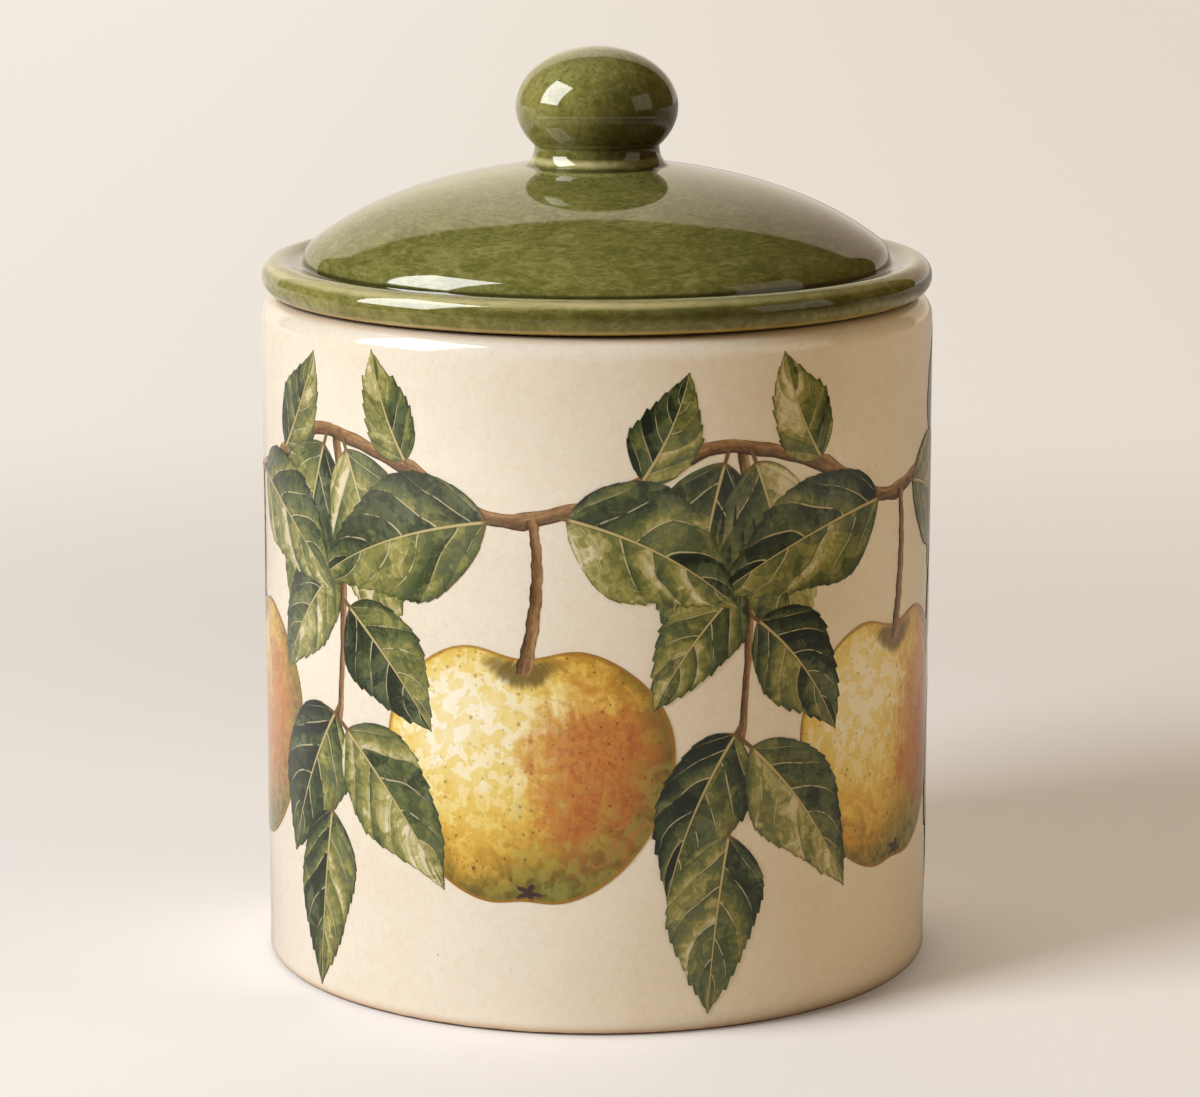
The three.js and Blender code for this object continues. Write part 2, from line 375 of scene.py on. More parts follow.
foot_inner = body_radius - FOOT_EDGE_RADIUS - FOOT_RING_WIDTH
floor_height = FOOT_RECESS_DEPTH + FLOOR_THICKNESS
collar_bottom = rim_height - COLLAR_HEIGHT
body = turned_piece("canister_body_glazed", [
    (0, FOOT_RECESS_DEPTH, 0),
    (foot_inner - FOOT_RECESS_DEPTH, FOOT_RECESS_DEPTH, FOOT_SOFTENING),
    (foot_inner, 0, FOOT_SOFTENING),
    (body_radius, 0, FOOT_EDGE_RADIUS),
    (body_radius, rim_height, SHOULDER_RADIUS),
    (mouth_radius, rim_height, MOUTH_EDGE_RADIUS),
    (mouth_radius, collar_bottom, COLLAR_ROUNDING),
    (cavity_radius, collar_bottom - COLLAR_EASE_HEIGHT, COLLAR_ROUNDING),
    (cavity_radius, floor_height, FLOOR_FILLET),
    (0, floor_height, 0),
])
body.data.materials.append(cream_glaze())
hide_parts("canister_body")
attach(body, "canister")

# Painted print: golden apples that hang from a garland of twigs, among toothed leaves, five times round
# the wall. It is a transfer in ceramic colours with the look of watercolour, laid on the glaze and fired
# until it sinks in, so each brushed patch follows the wall and takes the gloss of the glaze.
REPEATS = 5
FIRST_APPLE_TURN = math.radians(-12)
INK_SUNK = 0.05 * MM
TWIG_LIFT = 0.06 * MM
BACK_LEAF_LIFT = 0.09 * MM
APPLE_LIFT = 0.14 * MM
FRONT_LEAF_LIFT = 0.17 * MM
LAYER_STEP = 0.008 * MM
GARLAND_HEIGHT = 119.5 * MM
GARLAND_SWING = 7.5 * MM
GARLAND_WOBBLE = 0.7 * MM
GARLAND_HALF_WIDTH = 1.5 * MM
GARLAND_KNOTS = (0.23, 0.5, 0.76)
SPRIG_BEND = Vector((52 * MM, 92 * MM))
SPRIG_END = Vector((45 * MM, 46 * MM))
SPRIG_HALF_WIDTHS = (1.2 * MM, 0.6 * MM)
SPRIG_KNOTS = (0.38, 0.48, 0.78)
STALK_ROOT = 0.52
STALK_BEND = Vector((5 * MM, 100 * MM))
STALK_END = Vector((0, 79 * MM))
STALK_HALF_WIDTHS = (0.9 * MM, 1.5 * MM)
STALK_KNOTS = (0.05, 0.95)
TWIG_STEPS = 48
TWIG_ACROSS_STEPS = 4
KNOT_SWELLING = 0.35
KNOT_LENGTH = 0.025
PATH_STEP = 0.01
LEAF_STEPS = 72
LEAF_ACROSS_STEPS = 8
LEAF_WIDEST = 0.36
LEAF_ROOT_CURVE = 0.66
LEAF_TIP_CURVE = 1.18
LEAF_RIPPLE = 0.06
LEAF_RIPPLES = 11
LEAF_NARROWING = (0.78, 1.05)
LEAF_STALK_SHARE = 0.07
LEAF_STALK_HALF_WIDTH = 0.4 * MM
TIP_HALF_WIDTH = 0.12 * MM
TOOTH_LENGTH = 2.8 * MM
TOOTH_DEPTH = 0.6 * MM
TOOTH_SPREAD = (0.3, 1.3)
FULL_TOOTH_WIDTH = 3 * MM
LEAF_TURN_SPREAD = 6
LEAF_SIZE_SPREAD = 0.06
LEAF_TONE_SPREAD = 0.1
APPLE_STEPS = 40
APPLE_CENTRE = Vector((0, 58 * MM))
APPLE_HALF_WIDTH = 32 * MM
APPLE_HALF_HEIGHT = 30 * MM
APPLE_SHOULDERS = 0.07
STALK_DIP = 5.5 * MM
STALK_DIP_WIDTH = 0.3
EYE_DIP = 1.6 * MM
EYE_DIP_WIDTH = 0.2

repeat_length = math.tau * body_radius / REPEATS
dice = random.Random(7)


def on_wall(place, lift):
    """The point over a place on the unrolled wall, which starts at the front and runs to the right."""
    angle = place.x / body_radius
    radius = body_radius + lift
    return Vector((radius * math.sin(angle), -radius * math.cos(angle), place.y))


def blank_print():
    """An empty shape whose points can hold what the paint reads."""
    shape = bmesh.new()
    for name in ("share", "blade", "wash"):
        shape.verts.layers.float_vector.new(name)
    return shape


def lay_patch(shape, across_steps, along_steps, lift, wash, stroke):
    """Lays one closed patch on the wall.

    The stroke takes shares of the patch's width, -1 to 1, and length, 0 to 1. It gives the place on the
    unrolled wall, the shares that the paint reads, and the distances off the middle, along and to the edge.
    """
    layers = shape.verts.layers.float_vector
    grid = bmesh.ops.create_grid(shape, x_segments=across_steps, y_segments=along_steps, size=1)["verts"]
    for vert in grid:
        place, share, blade = stroke(vert.co.x, (vert.co.y + 1) / 2)
        vert[layers["share"]] = share
        vert[layers["blade"]] = blade
        vert[layers["wash"]] = wash
        vert.co = on_wall(place, -INK_SUNK)
    patch = list(dict.fromkeys(face for vert in grid for face in vert.link_faces))
    raised = bmesh.ops.extrude_face_region(shape, geom=patch)["geom"]
    tops = [part for part in raised if isinstance(part, bmesh.types.BMVert)]
    outward = (body_radius + lift) / (body_radius - INK_SUNK)
    bmesh.ops.scale(shape, vec=(outward, outward, 1), verts=tops)


def lay_leaf(shape, root, heading, length, half_width, bend, tone, lift):
    """An oval leaf with a stalk, forward teeth and a drawn-out tip, along a midrib that bends evenly."""
    teeth = round(length / TOOTH_LENGTH)
    tooth_depths = [TOOTH_DEPTH * dice.uniform(*TOOTH_SPREAD) for _ in range(teeth + 1)]
    sway = dice.uniform(0, math.tau)
    narrowing = {-1: dice.uniform(*LEAF_NARROWING), 1: dice.uniform(*LEAF_NARROWING)}
    midrib = [root]
    for step in range(LEAF_STEPS):
        way = heading + bend * (step + 0.5) / LEAF_STEPS
        midrib.append(midrib[-1] + Vector((math.cos(way), math.sin(way))) * length / LEAF_STEPS)

    def edge(along, side):
        blade = max(0, (along - LEAF_STALK_SHARE) / (1 - LEAF_STALK_SHARE))
        towards_tip = (1 - blade) / (1 - LEAF_WIDEST)
        oval = (blade / LEAF_WIDEST) ** LEAF_ROOT_CURVE * towards_tip ** LEAF_TIP_CURVE
        ripple = 1 + LEAF_RIPPLE * math.sin(sway * side + LEAF_RIPPLES * along)
        thin = LEAF_STALK_HALF_WIDTH + (TIP_HALF_WIDTH - LEAF_STALK_HALF_WIDTH) * along
        return max(thin, half_width * narrowing[side] * oval * ripple)

    def stroke(across, along):
        side = -1 if across < 0 else 1
        way = heading + bend * along
        right = Vector((math.sin(way), -math.cos(way)))
        ahead = Vector((math.cos(way), math.sin(way)))
        reach = edge(along, side)
        notch = along * teeth + 0.5 * (side > 0)
        tooth = tooth_depths[int(notch) % teeth] * (notch % 1) * min(1, reach / FULL_TOOTH_WIDTH)
        outer = abs(across) ** 3
        place = midrib[round(along * LEAF_STEPS)] + right * (across * reach + side * outer * tooth)
        place = place + ahead * tooth * outer
        return place, (across, along, 0), (across * reach, along * length, reach)

    dark_half = dice.choice((-1, 1))
    wash = (tone, dark_half, dice.random())
    lay_patch(shape, LEAF_ACROSS_STEPS, LEAF_STEPS, lift, wash, stroke)


def lay_twig(shape, path, start_half_width, end_half_width, knots, lift):
    """A twig that follows a path, a function of the share of its length, with swellings at its knots."""
    def stroke(across, along):
        ahead = (path(along + PATH_STEP) - path(along - PATH_STEP)).normalized()
        right = Vector((ahead.y, -ahead.x))
        swelling = sum(KNOT_SWELLING * math.exp(-((along - knot) / KNOT_LENGTH) ** 2) for knot in knots)
        bark = 0.1 * math.sin(along * 37 + across) + 0.07 * math.sin(along * 83 - 2 * across)
        half_width = start_half_width + (end_half_width - start_half_width) * along
        half_width = half_width * (1 + swelling + bark)
        place = path(along) + right * across * half_width
        run = (path(1) - path(0)).length * along
        return place, (across, along, 0), (across * half_width, run, half_width)

    lay_patch(shape, TWIG_ACROSS_STEPS, TWIG_STEPS, lift, (dice.random(), 0, dice.random()), stroke)


def lay_apple(shape, centre, lift):
    """A round apple, broad at the shoulders, with a dip for the stalk and a smaller one for the eye."""
    def stroke(across, along):
        up = along * 2 - 1
        disc = Vector((across * math.sqrt(1 - up * up / 2), up * math.sqrt(1 - across * across / 2)))
        angle = math.atan2(disc.y, disc.x)
        level = math.cos(angle)
        rise = math.sin(angle)
        dip = -EYE_DIP * math.exp(-(level / EYE_DIP_WIDTH) ** 2)
        if rise > 0:
            dip = STALK_DIP * math.exp(-(level / STALK_DIP_WIDTH) ** 2)
        lump = 1 + 0.012 * math.sin(3 * angle + 0.7) + 0.008 * math.sin(5 * angle)
        outline = Vector((
            APPLE_HALF_WIDTH * level * (1 + APPLE_SHOULDERS * rise) * lump,
            APPLE_HALF_HEIGHT * rise * lump - dip,
        ))
        return centre + outline * disc.length, (disc.x, disc.y, 0), (0, 0, 0)

    lay_patch(shape, APPLE_STEPS, APPLE_STEPS, lift, (dice.random(), 0, dice.random()), stroke)


def bent_path(start, middle, end):
    """A path that leaves one place for a second and bends from there to a third."""
    def path(along):
        first = start + (middle - start) * along
        second = middle + (end - middle) * along
        return first + (second - first) * along
    return path


def garland_path(origin):
    """One wave of the garland, from crest to crest, with its trough over the apple."""
    def path(along):
        wave = math.tau * (along - 0.5)
        height = GARLAND_HEIGHT - GARLAND_SWING * math.cos(wave) + GARLAND_WOBBLE * math.sin(3 * wave)
        return origin + Vector(((along - 0.5) * repeat_length, height))
    return path


def printed(name, shape, paint):
    """A print object on the body, shaded as the wall is."""
    piece = finished_piece(name, shape)
    outward = [Vector((vert.co.x, vert.co.y, 0)).normalized() for vert in piece.data.vertices]
    piece.data.normals_split_custom_set_from_vertices(outward)
    piece.data.materials.append(paint)
    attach(piece, "canister")


def paint_material(name):
    """A material with the gloss of the glaze, and wires for what the print's points hold."""
    material, shader, place = new_material(name)
    held = {}
    for layer in ("share", "blade", "wash"):
        vector = place.add("ShaderNodeAttribute", {"attribute_name": layer}, output="Vector")
        held[layer] = vector.axes()
    (GLAZE_ROUGHNESS + place.noise(HAZE_SIZE, 3) * GLAZE_HAZE).feed(shader, "Roughness")
    glaze_waves(place, GLAZE_RIPPLE).feed(shader, "Normal")
    shader.inputs["IOR"].default_value = GLAZE_IOR
    return material, shader, place, held


LEAF_VEINS = 5.2
VEIN_SWEEP = 1.6
LEAF_WASHES = [
    (0.0, colour(28, 36, 22)), (0.2, colour(52, 64, 38)), (0.4, colour(84, 95, 54)),
    (0.58, colour(118, 122, 66)), (0.74, colour(156, 151, 84)), (0.88, colour(192, 184, 130)),
    (1.0, colour(224, 214, 182)),
]
COOL_GREEN = colour(108, 120, 102)
VEIN_PALE = colour(214, 204, 162)
RIB_PALE = colour(204, 186, 132)
STALK_BROWN = colour(118, 92, 54)
LEAF_LINE = colour(62, 62, 28)
VEIN_SWAY_SIZE = 12 * MM
POOL_SIZE = 8 * MM
PUDDLE_SIZE = 3.2 * MM
WASH_GRAIN_SIZE = 1.1 * MM
COOL_SIZE = 13 * MM
VEIN_GAP_SIZE = 2.6 * MM
RIB_HALF_WIDTH = 0.4 * MM
LINE_WIDTH = 0.32 * MM
LINE_CORE = 0.1 * MM
LINE_GAP_SIZE = 5 * MM
STALK_BLEND = 0.03


def leaf_paint():
    """Green washes that change at each vein and pool at their edges, with the veins left pale."""
    material, shader, place, held = paint_material("leaf_paint")
    across, along, _ = held["share"]
    off_rib, _, edge = held["blade"]
    tone, dark_half, seed = held["wash"]
    side = across.math("SIGN")
    reach = across.math("ABSOLUTE")
    sway = place.noise(VEIN_SWAY_SIZE, 1) - 0.5
    count = along * (LEAF_VEINS + seed) - reach ** 1.3 * VEIN_SWEEP + side * 0.22 + sway * 0.6
    panel = count.math("FLOOR")
    inside = count - panel
    key = place.add("ShaderNodeCombineXYZ", None, {0: panel, 1: side, 2: seed * 9})
    chances = place.add("ShaderNodeTexWhiteNoise", None, {"Vector": key}, output="Color").axes()
    broad_way = place.add("ShaderNodeCombineXYZ", None, {0: reach * 1.6, 1: count * 4, 2: seed * 9})
    fine_way = place.add("ShaderNodeCombineXYZ", None, {0: reach * 3, 1: count * 17, 2: seed * 5})
    broad_stroke = broad_way.noise(1, 3, 0.55, 0.4)
    fine_stroke = fine_way.noise(1, 3, 0.6)
    pool = place.noise(POOL_SIZE, 3, 0.5, 0.8)
    puddle = place.noise(PUDDLE_SIZE, 3, 0.55, 1)
    level = tone + side * dark_half * 0.14 + (chances[0] - 0.5) * 0.4
    level = level + (inside - 0.5) * (chances[1] - 0.25) * 0.8
    level = level + (pool.rise(0.46, 0.54) - 0.5) * 0.16 - pool.band(0.5, 0.025) * 0.08
    level = level + (puddle.rise(0.46, 0.54) - 0.5) * 0.11 - puddle.band(0.5, 0.02) * 0.05
    level = level + (broad_stroke - 0.5) * 0.34 + (fine_stroke - 0.5) * 0.1
    level = level + (place.noise(WASH_GRAIN_SIZE, 4, 0.65) - 0.5) * 0.24
    level = level - reach.rise(0.84, 1) * 0.1 - (1 - along) ** 4 * 0.12
    wash = place.add("ShaderNodeValToRGB", {"stops": LEAF_WASHES}, {"Fac": level})
    cool = place.noise(COOL_SIZE, 2).rise(0.48, 0.62) * level.rise(0.8, 0.4) * level.rise(0.1, 0.35)
    wash = (cool * 0.28).tint(wash, COOL_GREEN)
    gap = place.noise(VEIN_GAP_SIZE, 3).rise(0.36, 0.5)
    near_vein = inside.math("MINIMUM", 1 - inside)
    wash = (near_vein.rise(0.1, 0.03) * 0.3).tint(wash, LEAF_LINE)
    vein = near_vein.rise(0.04, 0.014) * reach.rise(0.97, 0.5) * gap
    wash = (vein * 0.75).tint(wash, VEIN_PALE)
    rib_width = off_rib.math("ABSOLUTE") / (1.15 - along)
    wash = (rib_width.rise(RIB_HALF_WIDTH * 2, RIB_HALF_WIDTH) * 0.4).tint(wash, LEAF_LINE)
    wash = (rib_width.rise(RIB_HALF_WIDTH, RIB_HALF_WIDTH / 2) * 0.9).tint(wash, RIB_PALE)
    line = ((1 - reach) * edge).rise(LINE_WIDTH, LINE_CORE) * place.noise(LINE_GAP_SIZE, 2).rise(0.36, 0.5)
    wash = (line * 0.6).tint(wash, LEAF_LINE)
    on_stalk = along.rise(LEAF_STALK_SHARE + STALK_BLEND, LEAF_STALK_SHARE)
    on_stalk.tint(wash, STALK_BROWN).feed(shader, "Base Color")
    return material


APPLE_WASHES = [
    (0.0, colour(110, 96, 36)), (0.2, colour(156, 128, 46)), (0.36, colour(196, 152, 56)),
    (0.52, colour(222, 180, 76)), (0.68, colour(234, 204, 104)), (0.82, colour(244, 224, 150)),
    (0.94, colour(252, 242, 208)), (1.0, colour(254, 248, 228)),
]
APPLE_GREEN = colour(150, 152, 72)
APPLE_BLUSH = colour(198, 112, 54)
APPLE_BLUSH_DEEP = colour(160, 74, 42)
APPLE_LINE = colour(166, 118, 40)
APPLE_HOLLOW = colour(92, 74, 30)
APPLE_EYE = colour(66, 46, 38)
APPLE_DOT = colour(116, 68, 30)
BLOTCH_SIZE = 7 * MM
DAPPLE_SIZE = 1.6 * MM
STAIN_SIZE = 3 * MM
OUTLINE_SWAY_SIZE = 6 * MM
DOT_SPACINGS_AND_RADII = ((1.5 * MM, 0.26), (2.6 * MM, 0.2))
BLUSH_ACROSS = 0.44
BLUSH_UP = -0.02
HOLLOW_UP = 0.86
EYE_ACROSS = 0.04
EYE_UP = -0.93
EYE_POINTS = 5


def apple_paint():
    """Yellow and ochre washes round a bare highlight, with a blush, green shade, dots and an outline."""
    material, shader, place, held = paint_material("apple_paint")
    across, up, _ = held["share"]
    seed = held["wash"][2]
    reach = (across * across + up * up).math("SQRT")
    bulge = (1 - reach * reach).math("MAXIMUM", 0).math("SQRT")
    meridian = across / (1.04 - up * up).math("SQRT")
    downward = place.add("ShaderNodeCombineXYZ", None, {0: meridian * 15, 1: up * 1.5, 2: seed * 9})
    streak = downward.noise(1, 4, 0.6)
    blotch = place.noise(BLOTCH_SIZE, 4, 0.6, 0.5)
    dapple = place.noise(DAPPLE_SIZE, 4, 0.65)
    stain = place.noise(STAIN_SIZE, 2, 0.5, 0.6)
    shading = across * -0.4 + up * 0.36 + bulge * 0.72 + 0.04
    brushing = (blotch - 0.5) * 0.55 + (dapple - 0.5) * 0.34 + (streak - 0.5) * 0.3
    level = shading + brushing * (1 - shading.rise(0.5, 0.95) * 0.6)
    level = level + (stain.rise(0.47, 0.53) - 0.5) * 0.12 - stain.band(0.5, 0.025) * 0.06
    wash = place.add("ShaderNodeValToRGB", {"stops": APPLE_WASHES}, {"Fac": level})
    green = (across * 0.5 - up * 0.5 + blotch).rise(0.6, 1.05) * stain.rise(0.35, 0.6)
    wash = (green * 0.6).tint(wash, APPLE_GREEN)
    to_blush = ((across - BLUSH_ACROSS) * 1.75) ** 2 + ((up - BLUSH_UP) * 1.2) ** 2
    ragged = (blotch - 0.5) * 1.5 + (dapple - 0.5) * 1.1 + (streak - 0.5) * 0.9
    blush = (to_blush + ragged).rise(1.0, -0.1)
    wash = (blush * 0.7).tint(wash, APPLE_BLUSH)
    wash = (blush.rise(0.4, 1) * dapple.rise(0.42, 0.62) * 0.55).tint(wash, APPLE_BLUSH_DEEP)
    for spacing, radius in DOT_SPACINGS_AND_RADII:
        from_dot, chances = place.cells(spacing)
        dot = (from_dot + (dapple - 0.5) * 0.12).rise(radius, radius * 0.6)
        dot = dot * chances[0].rise(0.5, 0.65) * (0.3 + chances[1] * 0.6)
        wash = (dot * (1.2 - level * 0.8).math("MINIMUM", 1)).tint(wash, APPLE_DOT)
    hollow = (across * 3.6) ** 2 + ((up - HOLLOW_UP) * 7) ** 2
    wash = ((hollow + (streak - 0.5) * 1.2).rise(1.2, 0.2) * 0.85).tint(wash, APPLE_HOLLOW)
    eye_across = (across - EYE_ACROSS) * 15
    eye_up = (up - EYE_UP) * 20
    eye = (eye_across * eye_across + eye_up * eye_up).math("SQRT")
    points = (eye_up.math("ARCTAN2", eye_across) * EYE_POINTS).math("COSINE")
    wash = (eye - points * 0.45 + (dapple - 0.5) * 0.8).rise(1.25, 0.95).tint(wash, APPLE_EYE)
    rim = reach + (place.noise(OUTLINE_SWAY_SIZE, 2) - 0.5) * 0.03
    wash = (rim.rise(0.966, 0.988) * 0.75).tint(wash, APPLE_LINE)
    wash.feed(shader, "Base Color")
    return material


TWIG_WASHES = [
    (0.0, colour(58, 38, 24)), (0.3, colour(92, 64, 40)), (0.55, colour(134, 98, 62)),
    (0.8, colour(176, 138, 94)), (1.0, colour(206, 176, 134)),
]
BARK_STREAK_LENGTH = 5 * MM
BARK_GRAIN_SIZE = 1.4 * MM


def twig_paint():
    """Brown bark, pale on its upper side, with dark streaks and edges."""
    material, shader, place, held = paint_material("twig_paint")
    across = held["share"][0]
    run = held["blade"][1] / BARK_STREAK_LENGTH
    seed = held["wash"][2]
    lengthwise = place.add("ShaderNodeCombineXYZ", None, {0: across * 2.2, 1: run, 2: seed * 9})
    bark = lengthwise.noise(1, 4, 0.65)
    level = 0.52 - across * 0.3 + (bark - 0.5) * 0.9 + (place.noise(BARK_GRAIN_SIZE, 3) - 0.5) * 0.4
    level = level - across.math("ABSOLUTE").rise(0.7, 1) * 0.22
    wash = place.add("ShaderNodeValToRGB", {"stops": TWIG_WASHES}, {"Fac": level})
    wash.feed(shader, "Base Color")
    return material


# Each leaf: the share of the twig at its root, its heading and bend in degrees, its length and half-width
# in millimetres, its tone, and whether it lies over the apples.
GARLAND_LEAVES = (
    (0.225, 130, -20, 27, 8, 0.6, False), (0.755, 52, 22, 28, 8.5, 0.42, False),
    (0.97, -114, 16, 54, 13.5, 0.38, False), (0.02, -64, -14, 50, 12.5, 0.62, False),
    (0.455, 190, 30, 52, 13, 0.46, True), (0.565, -12, -32, 48, 12.5, 0.6, True),
)
SPRIG_LEAVES = (
    (0.38, -145, 24, 36, 9.5, 0.56, True), (0.48, -34, -26, 38, 10, 0.42, True),
    (0.76, -130, 20, 44, 11.5, 0.38, True), (0.8, -38, -22, 46, 12, 0.62, True),
    (1.0, -96, 10, 42, 11, 0.48, True),
)
leaf_colours = leaf_paint()
apple_colours = apple_paint()
twig_colours = twig_paint()
for number in range(REPEATS):
    origin = Vector((FIRST_APPLE_TURN * body_radius + number * repeat_length, 0))
    garland = garland_path(origin)
    sprig = bent_path(garland(1), origin + SPRIG_BEND, origin + SPRIG_END)
    stalk = bent_path(garland(STALK_ROOT), origin + STALK_BEND, origin + STALK_END)
    twigs = blank_print()
    lay_twig(twigs, sprig, *SPRIG_HALF_WIDTHS, SPRIG_KNOTS, TWIG_LIFT)
    lay_twig(twigs, garland, GARLAND_HALF_WIDTH, GARLAND_HALF_WIDTH, GARLAND_KNOTS, TWIG_LIFT + LAYER_STEP)
    lay_twig(twigs, stalk, *STALK_HALF_WIDTHS, STALK_KNOTS, APPLE_LIFT + LAYER_STEP)
    printed(f"twig_print_{number + 1}", twigs, twig_colours)
    apples = blank_print()
    lay_apple(apples, origin + APPLE_CENTRE, APPLE_LIFT)
    printed(f"apple_print_{number + 1}", apples, apple_colours)
    leaves = blank_print()
    for twig, group in ((garland, GARLAND_LEAVES), (sprig, SPRIG_LEAVES)):
        for layer, (root, heading, bend, length, half_width, tone, over) in enumerate(group):
            lay_leaf(
                leaves,
                twig(root),
                math.radians(heading + dice.uniform(-LEAF_TURN_SPREAD, LEAF_TURN_SPREAD)),
                length * MM * dice.uniform(1 - LEAF_SIZE_SPREAD, 1 + LEAF_SIZE_SPREAD),
                half_width * MM * dice.uniform(1 - LEAF_SIZE_SPREAD, 1 + LEAF_SIZE_SPREAD),
                math.radians(bend + dice.uniform(-LEAF_TURN_SPREAD, LEAF_TURN_SPREAD)),
                tone + dice.uniform(-LEAF_TONE_SPREAD, LEAF_TONE_SPREAD),
                (FRONT_LEAF_LIFT if over else BACK_LEAF_LIFT) + layer * LAYER_STEP,
            )
    printed(f"leaf_print_{number + 1}", leaves, leaf_colours)

# Lid: a low dome with a rolled flange, cast in one with the skirt that centres it in the mouth.
# It is glazed in a mottled olive that pools dark in the hollows and breaks to buff on the edges, and
# the ring under the flange is left bare, because the lid is fired sitting on the jar.
LID_WALL = 5 * MM
FLANGE_SETBACK = 0.15 * MM
BEAD_HALF_WIDTH = 3.56 * MM
BEAD_HALF_HEIGHT = 3.78 * MM
BEAD_LIFT = 0.46 * MM
BEAD_STEPS = 28
SEAT_SETBACK = 1.8 * MM
SEAT_SOFTENING = 0.15 * MM
VALLEY_WIDTH = 3.2 * MM
VALLEY_DEPTH = 0.6 * MM
VALLEY_DIP = 1.6 * MM
VALLEY_POINTS = 14
DOME_FOOT_WIDTH = 4.7 * MM
DOME_FOOT_ROUNDING = 6 * MM
DOME_FOOT_SLOPE = math.radians(84)
DOME_FOOT_STEPS = 12
DOME_HEIGHT = 29.2 * MM
DOME_CENTRE_DEPTH = 12.2 * MM
DOME_STEPS = 36
HOLLOW_STEPS = 24
SKIRT_GAP = 3.5 * MM
SKIRT_WALL = 5 * MM
SKIRT_DEPTH = 12 * MM
SKIRT_EDGE_RADIUS = 1.5 * MM
SKIRT_TOP_RADIUS = 1 * MM
SKIRT_COVE = 5 * MM
GROOVE_DEPTH = 1.8 * MM
GROOVE_HEIGHT = 6.6 * MM
GROOVE_DROP = 2.7 * MM
GROOVE_SOFTENING = 0.4 * MM
VENT_RADIUS = 3 * MM
KNOB_FOOT_RADIUS = 16.4 * MM

skirt_radius = mouth_radius - SKIRT_GAP
skirt_inner = skirt_radius - SKIRT_WALL
groove_top = rim_height - GROOVE_DROP
groove_bottom = groove_top - GROOVE_HEIGHT
groove_radius = skirt_radius - GROOVE_DEPTH
bead_radius = body_radius - FLANGE_SETBACK - BEAD_HALF_WIDTH
bead_height = rim_height + BEAD_LIFT + BEAD_HALF_HEIGHT
crest_height = bead_height + BEAD_HALF_HEIGHT
valley_radius = bead_radius - VALLEY_WIDTH
valley_height = crest_height - VALLEY_DEPTH
dome_centre = rim_height - DOME_CENTRE_DEPTH
dome_semi_height = DOME_HEIGHT + DOME_CENTRE_DEPTH
dome_semi_width = valley_radius / math.sqrt(1 - ((valley_height - dome_centre) / dome_semi_height) ** 2)
hollow_semi_height = dome_semi_height - LID_WALL
hollow_semi_width = dome_semi_width - LID_WALL
land_height = dome_centre + dome_semi_height * math.sqrt(1 - (KNOB_FOOT_RADIUS / dome_semi_width) ** 2)
cove_corner = dome_centre + hollow_semi_height * math.sqrt(1 - (skirt_inner / hollow_semi_width) ** 2)

OLIVE = colour(132, 130, 66)
OLIVE_DEEP = colour(96, 96, 40)
OLIVE_PALE = colour(168, 161, 98)
# Pooled glaze in the valley and at the knob's joint, and painted shade on the right, the bead and under the
# ball.
OLIVE_POOL_AND_SHADE = colour(40, 40, 12)
BUFF_BREAK = colour(214, 203, 148)
HEM_OCHRE = colour(186, 158, 84)
SEAT_SHADOW = colour(52, 36, 16)
OLIVE_ROUGHNESS = 0.045
OLIVE_RIPPLE = 0.03 * MM
CLOUD_SIZE = 16 * MM
WISP_SIZE = 3.2 * MM
CRINKLE_SIZE = 4.2 * MM
DRAWN_OUT_RADIUS = 36 * MM
AXIS_EASE = 1 * MM
# Where the glaze changes, each as a start and an end, or a band's middle and half-width. They count from
# the bead's middle, the rim, the crest or the knob's land, and the radii from the axis.
BEAD_START = (-2 * MM, -1 * MM)
BEAD_SHADE_BAND = (0.5 * MM, 2.5 * MM)
CREST_START = (0.4 * MM, 1.6 * MM)
CREST_BAND = (-0.9 * MM, 1.2 * MM)
HEM_BAND = (1.05 * MM, 0.75 * MM)
CREVICE_START = (0.62 * MM, 0.5 * MM)
SEAT_BAND = (0, 0.6 * MM)
SEAT_EASE = 1 * MM
VALLEY_START = (-1.6 * MM, -2.6 * MM)
VALLEY_LEVEL = (0.3 * MM, -0.5 * MM)
UPPER_SIDE_LEVEL = (3 * MM, 4 * MM)
UPPER_SIDE_RADII = (58 * MM, 60 * MM)
JOINT_RADII = (KNOB_FOOT_RADIUS + 1 * MM, KNOB_FOOT_RADIUS + 0.2 * MM)
JOINT_BAND = (0, 1 * MM)
BALL_RADII = (20 * MM, 19 * MM)
BALL_SHADE_LEVEL = (18 * MM, 7 * MM)
OVER_COLLAR_LEVEL = (1.7 * MM, 2.8 * MM)
COLLAR_RADII = (19 * MM, 18 * MM)
COLLAR_BAND = (1.5 * MM, 1.2 * MM)
BALL_TOP_LEVEL = (15 * MM, 23 * MM)
BALL_SIDE_LEVEL = (5 * MM, 9 * MM)
RIGHT_SHADE_LEVEL = (24 * MM, 16 * MM)


